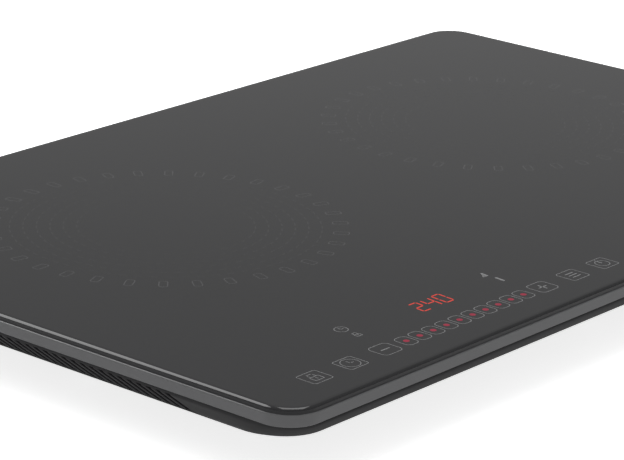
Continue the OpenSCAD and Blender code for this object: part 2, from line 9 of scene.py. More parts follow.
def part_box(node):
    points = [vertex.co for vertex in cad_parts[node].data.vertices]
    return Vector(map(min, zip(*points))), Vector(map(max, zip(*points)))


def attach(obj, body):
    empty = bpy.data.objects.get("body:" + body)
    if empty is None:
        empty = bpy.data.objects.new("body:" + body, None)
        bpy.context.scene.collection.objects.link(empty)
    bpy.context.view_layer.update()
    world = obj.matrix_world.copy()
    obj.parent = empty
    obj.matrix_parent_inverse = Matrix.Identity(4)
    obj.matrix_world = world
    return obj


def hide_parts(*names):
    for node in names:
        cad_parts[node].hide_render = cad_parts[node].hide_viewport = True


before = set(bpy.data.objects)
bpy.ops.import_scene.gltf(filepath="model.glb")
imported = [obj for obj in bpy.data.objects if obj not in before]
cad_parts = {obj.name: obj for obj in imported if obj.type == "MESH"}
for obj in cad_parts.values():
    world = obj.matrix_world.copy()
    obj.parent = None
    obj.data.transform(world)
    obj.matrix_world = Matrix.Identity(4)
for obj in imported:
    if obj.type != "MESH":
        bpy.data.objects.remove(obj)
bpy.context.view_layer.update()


# ---------------------------------------------------------------- bench, light and camera
# A pale matt table top under soft studio light. One softbox stands behind the left side and
# draws the bright line along the glass bevel; the room behind the cook is a soft grey.
# The camera looks down on the front left corner through a long lens.

class Value:
    """A shader socket that takes part in Python arithmetic."""

    def __init__(self, nodes, socket):
        self.nodes = nodes
        self.socket = socket

    def _math(self, operation, first, second):
        return self.nodes.node("ShaderNodeMath", {"operation": operation}, {0: first, 1: second})

    def __add__(self, other):
        return self._math("ADD", self, other)

    def __radd__(self, other):
        return self._math("ADD", other, self)

    def __mul__(self, other):
        return self._math("MULTIPLY", self, other)

    def __rmul__(self, other):
        return self._math("MULTIPLY", other, self)

    def __gt__(self, other):
        return self._math("GREATER_THAN", self, other)

    def __lt__(self, other):
        return self._math("LESS_THAN", self, other)


class Nodes:
    """A node tree and the one way to add a node to it."""

    def __init__(self, tree):
        self.tree = tree

    def fill(self, node, sockets):
        """Sets or links a node's sockets."""
        for key, value in sockets.items():
            socket = node.inputs[key]
            if isinstance(value, Value):
                self.tree.links.new(value.socket, socket)
            elif socket.type == "RGBA":
                socket.default_value = (*value, 1.0)
            else:
                socket.default_value = value

    def node(self, kind, settings=None, sockets=None, output=0):
        """Adds a node. A ramp's stops are (position, grey level) pairs."""
        new = self.tree.nodes.new(kind)
        for key, value in (settings or {}).items():
            if key != "stops":
                setattr(new, key, value)
                continue
            elements = new.color_ramp.elements
            while len(elements) < len(value):
                elements.new(0.5)
            for stop, (position, level) in zip(elements, value):
                stop.position = position
                stop.color = (level, level, level, 1)
        self.fill(new, sockets or {})
        return Value(self, new.outputs[output])


class Finish(Nodes):
    """A material on one Principled shader, with its patterns in object coordinates."""

    def __init__(self, name, roughness=0.5, metallic=0.0, **fixed):
        self.material = bpy.data.materials.new(name)
        self.material.use_nodes = True
        super().__init__(self.material.node_tree)
        self.shader = next(n for n in self.tree.nodes if n.type == "BSDF_PRINCIPLED")
        self.set({"Roughness": roughness, "Metallic": metallic, **fixed})

    def set(self, sockets):
        self.fill(self.shader, sockets)

    def place(self):
        return self.node("ShaderNodeTexCoord", output="Object")

    def noise(self, scale, detail=3.0, stretch=(1, 1, 1)):
        spot = self.node("ShaderNodeMapping", None, {"Vector": self.place(), "Scale": stretch})
        return self.node("ShaderNodeTexNoise", None, {"Vector": spot, "Scale": scale, "Detail": detail})

    def blend(self, factor, first, second):
        """Mixes two colours by a factor from 0 to 1."""
        return self.node("ShaderNodeMix", {"data_type": "RGBA"}, {0: factor, 6: first, 7: second}, 2)

    def bump(self, height, distance, strength=0.3):
        """Relief of the given depth in metres."""
        self.set({"Normal": self.node("ShaderNodeBump", None, {
            "Height": height, "Distance": distance, "Strength": strength})})
        return self


scene = bpy.context.scene
scene.view_settings.view_transform = "Standard"
CAMERA_AT = (-1.3236, -1.0695, 0.5850)
looks_down = math.radians(18.401)
looks_right = math.radians(49.705)
roll = math.radians(1.416)
camera = bpy.data.objects.new("camera", bpy.data.cameras.new("camera"))
camera.data.lens = 182.84
camera.data.clip_end = 50
aim = Euler((math.pi / 2 - looks_down, 0, -looks_right)).to_matrix() @ Matrix.Rotation(roll, 3, "Z")
camera.matrix_world = Matrix.Translation(CAMERA_AT) @ aim.to_4x4()
scene.collection.objects.link(camera)
scene.camera = camera

SKY_LEVELS = ((0.0, 0.5), (0.20, 0.39), (0.26, 0.37), (0.33, 0.31), (0.42, 0.31), (0.75, 0.45), (1.0, 0.6))
scene.world = bpy.data.worlds.new("studio")
scene.world.use_nodes = True
sky = Nodes(scene.world.node_tree)
toward = sky.node("ShaderNodeTexCoord", output="Generated")
height = sky.node("ShaderNodeSeparateXYZ", None, {0: toward}, "Z")
sky_grey = sky.node("ShaderNodeValToRGB", {"stops": SKY_LEVELS}, {0: height})
sky.fill(sky.tree.nodes["Background"], {"Color": sky_grey})


def softbox(name, place, size, power):
    """A square light that hangs at a place and faces the middle of the table."""
    data = bpy.data.lights.new(name, "AREA")
    data.shape = "SQUARE"
    data.size = size
    data.energy = power
    light = bpy.data.objects.new(name, data)
    light.location = place
    light.rotation_euler = (-Vector(place)).to_track_quat("-Z", "Y").to_euler()
    scene.collection.objects.link(light)


softbox("key_softbox", (-0.95, 1.75, 2.0), 1.5, 30)
softbox("top_softbox", (0.2, -0.2, 3.2), 2.4, 60)

table_half = 12
bm = bmesh.new()
bmesh.ops.create_grid(bm, x_segments=1, y_segments=1, size=table_half)
table_mesh = bpy.data.meshes.new("table")
bm.to_mesh(table_mesh)
bm.free()
table_top = bpy.data.objects.new("table", table_mesh)
scene.collection.objects.link(table_top)
paint = Finish("table_paint", 0.6, **{"Emission Color": (1, 1, 1), "Emission Strength": 0.8})
paint.set({"Base Color": paint.blend(paint.noise(6), (0.90, 0.90, 0.90), (0.92, 0.92, 0.92))})
table_mesh.materials.append(paint.material)


# ---------------------------------------------------------------- glass top
# One sheet of black glass-ceramic with ground corners and a polished bevel all round. It lies
# on a rubber seal in the frame and stands a few millimetres above the frame's lip.

MM = 0.001


def rounded_face(bm, width, depth, radius, z, at=(0.0, 0.0), steps=12):
    """One flat rectangle whose corners are bevelled round. Returns the face."""
    before = set(bm.faces)
    spot = Matrix.Translation((at[0], at[1], z)) @ Matrix.Diagonal((width, depth, 1, 1))
    corners = bmesh.ops.create_grid(bm, x_segments=1, y_segments=1, size=0.5, matrix=spot)["verts"]
    bmesh.ops.bevel(bm, geom=corners, offset=radius, segments=steps, profile=0.5,
                    affect="VERTICES", material=-1)
    return next(f for f in bm.faces if f not in before)


def loft(bm, levels, close_top=False, close_bottom=False):
    """Walls through rounded outlines, given as (width, depth, radius, z) from top to bottom.

    A cap gets a narrow flat border, so that its smooth shading stays level.
    """
    border = 2 * MM
    faces = [rounded_face(bm, *level) for level in levels]
    loops = [list(face.edges) for face in faces]
    spare = faces[1 if close_top else 0:len(faces) - 1 if close_bottom else len(faces)]
    bmesh.ops.delete(bm, geom=spare, context="FACES_ONLY")
    for upper, lower in zip(loops, loops[1:]):
        bmesh.ops.bridge_loops(bm, edges=upper + lower)
    for cap in faces:
        if cap.is_valid:
            bmesh.ops.inset_individual(bm, faces=[cap], thickness=border, use_even_offset=True)
    bmesh.ops.recalc_face_normals(bm, faces=bm.faces)


def piece(bm, name, finish, replaces=(), sharp=30):
    """Makes the mesh an object that rides on the cooktop and stands for its CAD nodes."""
    mesh = bpy.data.meshes.new(name)
    bm.normal_update()
    bm.to_mesh(mesh)
    bm.free()
    mesh.materials.append(finish.material)
    mesh.shade_smooth()
    mesh.set_sharp_from_angle(angle=math.radians(sharp))
    made = bpy.data.objects.new(name, mesh)
    scene.collection.objects.link(made)
    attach(made, "cooktop")
    if replaces:
        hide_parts(*replaces)
    return made


low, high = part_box("glass_top")
glass_w, glass_d = high.x - low.x, high.y - low.y
glass_top_z = high.z
glass_r = 18 * MM
# the print stands this far above the glass
print_gap = 0.02 * MM
# each level: how far in from the sides and down from the top, in millimetres
GLASS_BEVEL = ((1.22, 0.0), (1.02, 0.05), (0.16, 0.92), (0.05, 1.1), (0.0, 1.3))
GLASS_EDGE = ((0.0, 1.3), (0.0, 3.75), (0.25, 4.0))


def glass_levels(levels):
    return [(glass_w - 2 * inset * MM, glass_d - 2 * inset * MM, glass_r - inset * MM,
             glass_top_z - print_gap - drop * MM) for inset, drop in levels]


glass = Finish("black_glass", IOR=1.5)
smear = glass.noise(9, 4)
tint = glass.blend(glass.noise(500, 2), (0.008, 0.008, 0.009), (0.012, 0.012, 0.013))
glass.set({"Base Color": tint, "Roughness": 0.03 + smear * 0.03})
glass.bump(glass.noise(5, 2), 0.00003, 0.15)

bm = bmesh.new()
loft(bm, glass_levels(GLASS_BEVEL), close_top=True)
piece(bm, "glass_sheet", glass, ["glass_top"], sharp=35)

ground = Finish("ground_edge", **{"Specular IOR Level": 0.12})
grit = ground.noise(1800, 2)
ground.set({"Base Color": ground.blend(grit, (0.008, 0.008, 0.009), (0.018, 0.018, 0.019)),
            "Roughness": 0.32 + grit * 0.12})
ground.bump(grit, 0.00003)
bm = bmesh.new()
loft(bm, glass_levels(GLASS_EDGE), close_bottom=True)
piece(bm, "glass_edge", ground, ["glass_top"], sharp=35)


# ---------------------------------------------------------------- print on the glass
# Thin enamel lines fired on to the glass: a ring of small rounded marks and rings of faint
# dashes round each zone, and the outlines and signs of the touch fields along the front.

ZONES = [(side * 140 * MM, 37 * MM) for side in (-1, 1)]
key_row_y = -168 * MM
display_row_y = -142 * MM
line_w = 0.42 * MM


def shade(colour, factor):
    return tuple(min(1.0, c * factor) for c in colour)


def enamel(name, colour):
    """Fired glossy ink with fine specks."""
    ink = Finish(name)
    speck = ink.noise(900, 2)
    ink.set({"Base Color": ink.blend(speck, shade(colour, 0.85), shade(colour, 1.1)),
             "Roughness": 0.05 + speck * 0.06})
    return ink


def outline(bm, width, depth, radius, at, line=line_w, turn=0.0, centre=(0.0, 0.0)):
    """Rounded outline of a given line width, or a filled one, turned about a centre."""
    face = rounded_face(bm, width, depth, radius, glass_top_z, at, steps=4)
    verts = set(face.verts)
    if line:
        made = bmesh.ops.inset_individual(bm, faces=[face], thickness=line, use_even_offset=True)
        for part in made["faces"]:
            verts.update(part.verts)
        verts.update(face.verts)
        bmesh.ops.delete(bm, geom=[face], context="FACES_ONLY")
    if turn:
        spin = Matrix.Rotation(turn, 3, "Z")
        bmesh.ops.rotate(bm, cent=(*centre, 0), matrix=spin, verts=list(verts))


def ring_mark(bm, radius, at):
    """Round outline."""
    spot = Matrix.Translation((*at, glass_top_z))
    made = bmesh.ops.create_circle(bm, cap_ends=True, segments=24, radius=radius, matrix=spot)
    face = made["verts"][0].link_faces[0]
    bmesh.ops.inset_individual(bm, faces=[face], thickness=line_w)
    bmesh.ops.delete(bm, geom=[face], context="FACES_ONLY")


def stroke(bm, start, end, width):
    """Straight line between two points, with round ends."""
    along = Vector(end) - Vector(start)
    middle = (Vector(start) + Vector(end)) / 2
    outline(bm, along.length + width, width, width * 0.45, middle, 0,
            math.atan2(along.y, along.x), tuple(middle))


def zone_ring(bm, centre):
    """The ring of small rounded marks at one zone's edge."""
    count = 34
    for k in range(count):
        outline(bm, 9 * MM, 5 * MM, 1.6 * MM, (centre[0] + 94.5 * MM, centre[1]), 0.5 * MM,
                2 * math.pi * k / count, centre)


def zone_dashes(bm, centre):
    """Rings of short dashes, every other ring set half a dash round."""
    for ring in range(6):
        radius = (48 + 7.2 * ring) * MM
        count = int(2 * math.pi * radius / (8 * MM))
        for k in range(count):
            outline(bm, 0.6 * MM, 4.6 * MM, 0.25 * MM, (centre[0] + radius, centre[1]), 0,
                    2 * math.pi * (k + 0.5 * (ring % 2)) / count, centre)


def padlock(bm, x, y, size):
    """Lock sign: body, keyhole and a shackle of three strokes."""
    thin = 0.45 * MM
    outline(bm, 0.62 * size, 0.46 * size, 0.08 * size, (x, y - 0.14 * size), thin)
    for leg in (x - 0.18 * size, x + 0.18 * size):
        stroke(bm, (leg, y + 0.1 * size), (leg, y + 0.3 * size), thin)
    stroke(bm, (x - 0.14 * size, y + 0.38 * size), (x + 0.14 * size, y + 0.38 * size), thin)
    stroke(bm, (x, y - 0.2 * size), (x, y - 0.06 * size), 0.5 * MM)


def clock(bm, x, y, radius):
    """Timer sign: a round with two hands."""
    hand = 0.5 * MM
    ring_mark(bm, radius, (x, y))
    stroke(bm, (x, y), (x, y + 0.55 * radius), hand)
    stroke(bm, (x, y), (x + 0.42 * radius, y), hand)


key_w = 14 * MM
key_d = 13.2 * MM
near_key = 63.4 * MM
middle_key = 89.6 * MM
far_key = 115.8 * MM
side_signs = 57.3 * MM
CELLS = [(i - 4.5) * 10.5 * MM for i in range(10)]


def panel_print(bm, zone):
    """Outlines and signs of the touch fields in front of one zone."""
    x = zone[0]
    y = key_row_y
    for offset in CELLS:
        outline(bm, 8.8 * MM, 11.6 * MM, 3 * MM, (x + offset, y))
    for side in (-1, 1):
        key_x = x + side * near_key
        outline(bm, key_w, key_d, 3 * MM, (key_x, y))
        stroke(bm, (key_x - 2.8 * MM, y), (key_x + 2.8 * MM, y), 0.8 * MM)
        outline(bm, key_w, key_d, 1.8 * MM, (x + side * middle_key, y))
        outline(bm, key_w, key_d, 1.8 * MM, (x + side * far_key, y))
    # signs in the keys: minus and plus, lock, timer, function list and power
    plus_x = x + near_key
    stroke(bm, (plus_x, y - 2.8 * MM), (plus_x, y + 2.8 * MM), 0.8 * MM)
    padlock(bm, x - far_key, y, 10.5 * MM)
    clock(bm, x - middle_key, y, 5.3 * MM)
    list_x = x + middle_key
    for row_y in (y - 2.6 * MM, y, y + 2.6 * MM):
        stroke(bm, (list_x - 3 * MM, row_y), (list_x + 3 * MM, row_y), 0.7 * MM)
    power_x = x + far_key
    ring_mark(bm, 4.2 * MM, (power_x, y))
    stroke(bm, (power_x, y + 0.5 * MM), (power_x, y + 5 * MM), 0.8 * MM)
    # small signs at both sides of the digits: timer and lock, heat and level
    y = display_row_y
    clock(bm, x - side_signs, y + 7.2 * MM, 3.8 * MM)
    padlock(bm, x - side_signs, y - 3 * MM, 6.5 * MM)
    tip = x + side_signs
    for k in range(3):
        bar_x = tip + (k - 2) * 1.3 * MM
        stroke(bm, (bar_x, y + 5.2 * MM), (bar_x + 0.6 * MM, y + (6 + 1.6 * k) * MM), 1.3 * MM)
    stroke(bm, (tip, y - 5.5 * MM), (tip + 0.6 * MM, y - 0.5 * MM), 1.6 * MM)


for name, draw, ink in (
        ("panel_enamel", panel_print, enamel("pale_enamel", (0.19, 0.19, 0.195))),
        ("zone_enamel", zone_ring, enamel("grey_enamel", (0.06, 0.06, 0.062))),
        ("zone_dashes", zone_dashes, enamel("dark_enamel", (0.03, 0.03, 0.031)))):
    bm = bmesh.new()
    for zone in ZONES:
        draw(bm, zone)
    piece(bm, name, ink)


# ---------------------------------------------------------------- lit digits and dots
# Red light-emitting segments and dots behind the glass: three of the display's four digits are
# lit, and one dot shows in each field of the power slider.

def glow(name, colour):
    """A lit surface with a faint haze."""
    lamp = Finish(name, 0.4, **{"Emission Strength": 1.0, "Base Color": shade(colour, 0.3)})
    haze = lamp.noise(700, 1)
    lamp.set({"Emission Color": lamp.blend(haze, shade(colour, 0.85), colour)})
    return lamp


digit_h = 12.2 * MM
digit_w = 6.6 * MM
digit_pitch = 9.15 * MM
bar = 0.95 * MM
bar_gap = 0.35 * MM
digit_lean = 0.1
dot_r = 1.7 * MM
LIT_BARS = {"0": "abcdef", "2": "abged", "4": "fgbc"}


def digit(bm, sign, x, y):
    """One seven-segment digit; each segment is a rounded bar with a small gap at its ends."""
    w = (digit_w - bar) / 2
    h = (digit_h - bar) / 2
    ends = {"a": ((-w, h), (w, h)), "b": ((w, h), (w, 0)), "c": ((w, 0), (w, -h)),
            "d": ((-w, -h), (w, -h)), "e": ((-w, 0), (-w, -h)), "f": ((-w, h), (-w, 0)),
            "g": ((-w, 0), (w, 0))}
    for key in LIT_BARS[sign]:
        a, b = (Vector(p) for p in ends[key])
        inward = (b - a).normalized() * (bar / 2 + bar_gap)
        stroke(bm, *((x + p.x + digit_lean * p.y, y + p.y) for p in (a + inward, b - inward)), bar)


bm = bmesh.new()
for x, _ in ZONES:
    for k, sign in enumerate("240"):
        digit(bm, sign, x + (k - 0.5) * digit_pitch, display_row_y)
piece(bm, "lit_digits", glow("digit_red", (0.55, 0.03, 0.015)))

bm = bmesh.new()
for x, _ in ZONES:
    for offset in CELLS:
        spot = Matrix.Translation((x + offset, key_row_y, glass_top_z))
        bmesh.ops.create_circle(bm, cap_ends=True, segments=16, radius=dot_r, matrix=spot)
piece(bm, "slider_dots", glow("dot_red", (0.22, 0.0, 0.022)))


# ---------------------------------------------------------------- frame band
# A moulded ring in satin grey plastic that holds the glass. Its upright band leans in slightly
# towards the housing, and its lip has a small bright radius.

def moulded(name, colour, roughness, grain, relief, spread):
    """Moulded plastic or rubber with a fine eroded grain and a faint cloudiness."""
    skin = Finish(name)
    cloud = skin.noise(14, 4)
    fine = skin.noise(grain, 2)
    tone = cloud * 0.6 + fine * 0.4
    skin.set({"Base Color": skin.blend(tone, shade(colour, 1 - spread), shade(colour, 1 + spread)),
              "Roughness": roughness - 0.06 + cloud * 0.12})
    return skin.bump(fine, relief, 0.35)


low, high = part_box("upper_frame")
body_w, body_d = high.x - low.x, high.y - low.y
lip_z = high.z
rim_z = lip_z - 6.9 * MM
corner_r = 20 * MM


def body_level(inset, z, growth):
    """Rounded outline set in from the body's sides; its corner radius grows with the inset."""
    return (body_w - 2 * inset * MM, body_d - 2 * inset * MM, corner_r + growth * inset * MM, z)


# each level: how far in from the sides and up from the lip, in millimetres
LIP = ((0.62, -1.9), (0.62, -0.08), (0.54, 0.0), (0.42, -0.01), (0.04, -0.36), (0.0, -0.5))
BAND = ((0.0, -0.5), (0.22, -1.4), (1.33, -6.4), (1.4, -6.65), (1.75, -6.9), (14.0, -6.9),
        (14.0, -1.9))
grey = moulded("satin_grey_plastic", (0.078, 0.078, 0.080), 0.36, 1600, 0.00003, 0.05)
grey.set({"Specular IOR Level": 0.04})
polished = moulded("polished_lip", (0.085, 0.085, 0.088), 0.16, 1600, 0.00002, 0.05)


def band_levels(levels):
    return [body_level(inset, lip_z + dz * MM, -0.9 if inset < 3 else -0.5) for inset, dz in levels]


bm = bmesh.new()
loft(bm, band_levels(BAND))
piece(bm, "frame_band", grey, ["upper_frame"], sharp=40)

bm = bmesh.new()
loft(bm, band_levels(LIP))
piece(bm, "frame_lip", polished, ["upper_frame"], sharp=40)


# ---------------------------------------------------------------- housing
# The lower shell is one moulding in dark grey plastic. Its slopes run in under the frame to a
# flat floor; rows of narrow slots let the air out at both sides and the back, and two slotted
# rounds in the floor let it in under the fans.

floor_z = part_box("lower_housing")[0].z
rim_h = rim_z - floor_z
wall_t = 2 * MM
edge_r = 0.25 * MM
# each level of the slope: how far in from the sides, in millimetres, and its share of the rim's height
belly_growth = 0.2
BELLY = ((1.5, 1.0), (4.2, 0.88), (18.5, 0.45), (35.3, 0.08), (40.0, 0.012), (42.0, 0.0))
slot_w = 3 * MM
slot_pitch = 6.35 * MM
slot_low = floor_z + 0.13 * rim_h
slot_high = floor_z + 0.92 * rim_h
side_slots = 36
back_slots = 41
FANS = [(side * 48 * MM, 95 * MM) for side in (-1, 1)]
grille_r = 36.5 * MM
grille_rib = 4 * MM
well_half = 3.9 * MM
SCREW_AT = [(x * MM, y * MM) for x, y in (
    (-243.4, -122), (0, -146), (243.4, -122), (-248, -12),
    (248, -12), (-243.4, 122), (0, 148), (243.4, 122))]
gland_low, gland_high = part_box("cable_gland")
gland_x = (gland_low.x + gland_high.x) / 2
gland_wall_y = gland_high.y - 14 * MM
recess_half = 17 * MM
recess_top = floor_z + 23.8 * MM
# the slope reaches the recess's back wall at this height
recess_low = floor_z + 6.5 * MM


def cut_window(bm, lowest, highest, facing):
    """Cuts a straight-sided opening in the faces that look along facing and meet the box."""
    axes = [i for i in range(3) if facing[i] == 0]
    facing = Vector(facing)
    touch = 1e-7
    least_facing = 0.3

    def meets(face):
        if face.normal.dot(facing) < least_facing:
            return False
        spots = [v.co for v in face.verts]
        return all(min(p[i] for p in spots) < highest[i] - touch
                   and max(p[i] for p in spots) > lowest[i] + touch for i in range(3))

    for i in axes:
        for value in (lowest[i], highest[i]):
            faces = [face for face in bm.faces if meets(face)]
            edges = {e for f in faces for e in f.edges}
            verts = {v for f in faces for v in f.verts}
            spot = Vector((0, 0, 0))
            normal = Vector((0, 0, 0))
            spot[i] = value
            normal[i] = 1
            bmesh.ops.bisect_plane(bm, geom=faces + list(edges) + list(verts), dist=touch,
                                   plane_co=spot, plane_no=normal)
            bm.normal_update()
    inside = [f for f in bm.faces if meets(f)
              and all(lowest[i] < f.calc_center_median()[i] < highest[i] for i in axes)]
    bmesh.ops.delete(bm, geom=inside, context="FACES")


def cut_floor(bm, x1, x2, y1, y2):
    cut_window(bm, (x1, y1, floor_z - MM), (x2, y2, floor_z + MM), (0, 0, -1))


bm = bmesh.new()
levels = [body_level(inset, floor_z + part * rim_h, belly_growth) for inset, part in BELLY]
loft(bm, levels, close_bottom=True)
bm.normal_update()
# the floor, which has the most corners, faces down
if max(bm.faces, key=lambda f: len(f.verts)).normal.z > 0:
    bmesh.ops.reverse_faces(bm, faces=bm.faces)
    bm.normal_update()
for side in (-1, 1):
    for k in range(side_slots):
        y = (k - (side_slots - 1) / 2) * slot_pitch
        cut_window(bm, (min(0, side * body_w), y - slot_w / 2, slot_low),
                   (max(0, side * body_w), y + slot_w / 2, slot_high), (side, 0, 0))
for k in range(back_slots):
    x = (k - (back_slots - 1) / 2) * slot_pitch
    cut_window(bm, (x - slot_w / 2, 0, slot_low), (x + slot_w / 2, body_d, slot_high), (0, 1, 0))
# each round grille is two halves of slots either side of a rib
for fan_x, fan_y in FANS:
    for row in range(-5, 6):
        y = fan_y + row * slot_pitch
        half = math.sqrt(grille_r ** 2 - (row * slot_pitch) ** 2)
        cut_floor(bm, fan_x - half, fan_x - grille_rib / 2, y - slot_w / 2, y + slot_w / 2)
        cut_floor(bm, fan_x + grille_rib / 2, fan_x + half, y - slot_w / 2, y + slot_w / 2)
for x, y in SCREW_AT:
    cut_floor(bm, x - well_half, x + well_half, y - well_half, y + well_half)
cut_window(bm, (gland_x - recess_half, gland_wall_y, recess_low),
           (gland_x + recess_half, body_d, recess_top), (0, 1, 0))
dark = moulded("dark_grey_plastic", (0.0095, 0.0095, 0.010), 0.6, 1100, 0.00006, 0.08)
dark.set({"Specular IOR Level": 0.02})
shell = piece(bm, "housing_shell", dark, ["lower_housing"], sharp=40)
wall = shell.modifiers.new("wall", "SOLIDIFY")
wall.thickness = wall_t
wall.offset = -1
wall.use_even_offset = True
soften = shell.modifiers.new("edges", "BEVEL")
soften.width = edge_r
soften.segments = 2
soften.limit_method = "ANGLE"
soften.angle_limit = math.radians(50)


# ---------------------------------------------------------------- screw recesses and posts
# Each housing screw sits in a round well moulded in the floor, under a hollow post. Plain posts
# on the floor carry the coils, boards, fans and the panel's tray.

def turned(bm, profile, at, base=0.0, steps=32):
    """Spins a line of (radius, height) points, in millimetres above a base, about an upright axis."""
    before = set(bm.verts)
    line = [bm.verts.new((at[0] + r * MM, at[1], base + z * MM)) for r, z in profile]
    edges = [bm.edges.new(ends) for ends in zip(line, line[1:])]
    bmesh.ops.spin(bm, geom=line + edges, cent=(*at, 0), axis=(0, 0, 1),
                   angle=2 * math.pi, steps=steps, use_merge=True)
    made = [v for v in bm.verts if v not in before]
    bmesh.ops.remove_doubles(bm, verts=made, dist=1e-6)


def post(bm, at, radius, top, bore):
    """A plain post with a small bevel and a pilot hole, down to bore, for a self-tapping screw."""
    foot = 12
    bevel = 0.3
    pilot_r = 1.45
    side = ((radius, foot), (radius, top - bevel), (radius - bevel, top))
    turned(bm, (*side, (pilot_r, top), (pilot_r, bore)), at, steps=24)


WELL = ((5.8, 0.05), (4.3, 0.05), (4.05, 0.15), (4.0, 0.4), (4.0, 3.0), (2.1, 3.0), (2.1, 7.5))
SCREW_POST = ((5.5, 2.0), (5.5, 7.9), (5.2, 8.2), (2.1, 8.2), (2.1, 3.4))
COIL_SCREW_TURNS = (0, 110, 250)
coil_screw_r = 99 * MM
fan_screw = 35.75 * MM
# right-hand places in millimetres; the left half mirrors them
BOARD_SCREWS = ((13, -112), (200, -112), (200, -68), (25, 44))
TRAY_SCREWS = ((70, -150), (218, -150))
bm = bmesh.new()
for at in SCREW_AT:
    turned(bm, WELL, at, floor_z)
    turned(bm, SCREW_POST, at, floor_z)
for side, zone, fan in zip((-1, 1), ZONES, FANS):
    for degrees in COIL_SCREW_TURNS:
        angle = math.radians(degrees)
        at = (zone[0] + side * coil_screw_r * math.cos(angle), zone[1] + coil_screw_r * math.sin(angle))
        post(bm, at, radius=4, top=35.5, bore=24)
    for x, y in BOARD_SCREWS:
        post(bm, (side * x * MM, y * MM), radius=3.5, top=15.2, bore=12.3)
    for x in (fan[0] - fan_screw, fan[0] + fan_screw):
        for y in (fan[1] - fan_screw, fan[1] + fan_screw):
            post(bm, (x, y), radius=3.5, top=17.2, bore=12.3)
    for x, y in TRAY_SCREWS:
        post(bm, (side * x * MM, y * MM), radius=4, top=33.5, bore=24)

# the cable's recess: a box open to the back and below, trimmed to the slope
recess = bmesh.new()
recess_d = body_d / 2 - 5 * MM - gland_wall_y
middle = Matrix.Translation((gland_x, gland_wall_y + recess_d / 2, (floor_z + recess_top) / 2))
spread = Matrix.Diagonal((2 * recess_half, recess_d, recess_top - floor_z, 1))
bmesh.ops.create_cube(recess, size=1, matrix=middle @ spread)
open_sides = [f for f in recess.faces if f.normal.y > 0.5 or f.normal.z < -0.5]
bmesh.ops.delete(recess, geom=open_sides, context="FACES")
slope = [(body_d / 2 - inset * MM, floor_z + part * rim_h) for inset, part in BELLY]
for (y1, z1), (y2, z2) in zip(slope, slope[1:]):
    bmesh.ops.bisect_plane(recess, geom=recess.faces[:] + recess.edges[:] + recess.verts[:],
                           clear_outer=True, plane_co=(0, y1, z1),
                           plane_no=Vector((0, z1 - z2, y2 - y1)).normalized())
recess_mesh = bpy.data.meshes.new("recess")
recess.to_mesh(recess_mesh)
recess.free()
bm.from_mesh(recess_mesh)
bpy.data.meshes.remove(recess_mesh)
bmesh.ops.recalc_face_normals(bm, faces=bm.faces)
piece(bm, "housing_posts", dark, ["lower_housing"], sharp=40)


# ---------------------------------------------------------------- feet
# Four feet moulded in soft rubber, with grooved soles that grip the table. A barbed stem on top
# of each is pressed into a hole in the housing's floor.

FOOT = ((0, 0.6), (3.0, 0.6), (3.3, 0.0), (5.2, 0.0), (5.5, 0.6), (7.0, 0.6), (7.3, 0.0), (10.6, 0.0),
        (11.4, 0.25), (12.0, 1.1), (11.7, 4.0), (10.7, 9.6), (10.3, 10.0), (3.8, 10.0), (3.8, 12.2),
        (5.0, 12.6), (3.2, 14.6), (0, 14.8))
rubber = moulded("foot_rubber", (0.02, 0.02, 0.021), 0.75, 900, 0.0001, 0.15)
for name in ("foot_front_left", "foot_front_right", "foot_rear_left", "foot_rear_right"):
    low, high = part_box(name)
    bm = bmesh.new()
    turned(bm, FOOT, ((low.x + high.x) / 2, (low.y + high.y) / 2), steps=48)
    bmesh.ops.recalc_face_normals(bm, faces=bm.faces)
    piece(bm, name + "_sole", rubber, [name], sharp=35)


# ---------------------------------------------------------------- cable gland
# A ribbed sleeve moulded in soft rubber. Its neck snaps into a hole in the recess's wall, and
# the mains lead leaves through its bore.

SLEEVE = ((4.0, 0.0), (6.0, 0.0), (7.4, 4.0), (6.0, 4.0), (6.0, 6.2), (8.0, 6.2), (8.0, 8.1), (7.9, 8.2),
          (6.6, 9.2), (6.5, 10.6), (5.9, 10.7), (5.9, 11.5), (6.4, 11.6), (6.3, 13.2), (5.8, 13.3),
          (5.8, 14.1), (6.2, 14.2), (6.1, 15.8), (5.6, 15.9), (5.6, 16.7), (5.9, 16.8), (5.7, 19.9),
          (5.5, 20.2), (4.0, 20.2))
bm = bmesh.new()
turned(bm, SLEEVE + SLEEVE[:1], (0, 0), steps=40)
bmesh.ops.rotate(bm, verts=bm.verts, matrix=Matrix.Rotation(-math.pi / 2, 3, "X"))
gland_z = (gland_low.z + gland_high.z) / 2
bmesh.ops.translate(bm, verts=bm.verts, vec=(gland_x, gland_low.y, gland_z))
bmesh.ops.recalc_face_normals(bm, faces=bm.faces)
sleeve = moulded("gland_rubber", (0.018, 0.018, 0.019), 0.7, 900, 0.00008, 0.15)
piece(bm, "gland_sleeve", sleeve, ["cable_gland"], sharp=35)


# ---------------------------------------------------------------- seal, coils and sensors
# A black rubber seal beds the glass. Under each zone a flat spiral of copper litz wire lies on a
# pale heat-proof former over ferrite bars; a mica disc and a sprung bead touch the glass.

def dress(finish, *names):
    """Gives the frame's own parts a finish."""
    for name in names:
        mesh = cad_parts[name].data
        mesh.materials.clear()
        mesh.materials.append(finish.material)


def pair(name):
    return name + "_left", name + "_right"


def speckled(name, colour, other, scale, amount, roughness):
    """Two-tone surface: flecks of a second colour on a cloudy ground."""
    stuff = Finish(name)
    fleck = stuff.noise(scale, 2) > amount
    cloud = stuff.noise(scale / 12)
    ground = stuff.blend(cloud, shade(colour, 0.85), shade(colour, 1.15))
    stuff.set({"Base Color": stuff.blend(fleck, ground, other),
               "Roughness": roughness - 0.08 + cloud * 0.16})
    return stuff.bump(stuff.noise(scale, 2), 0.00005)


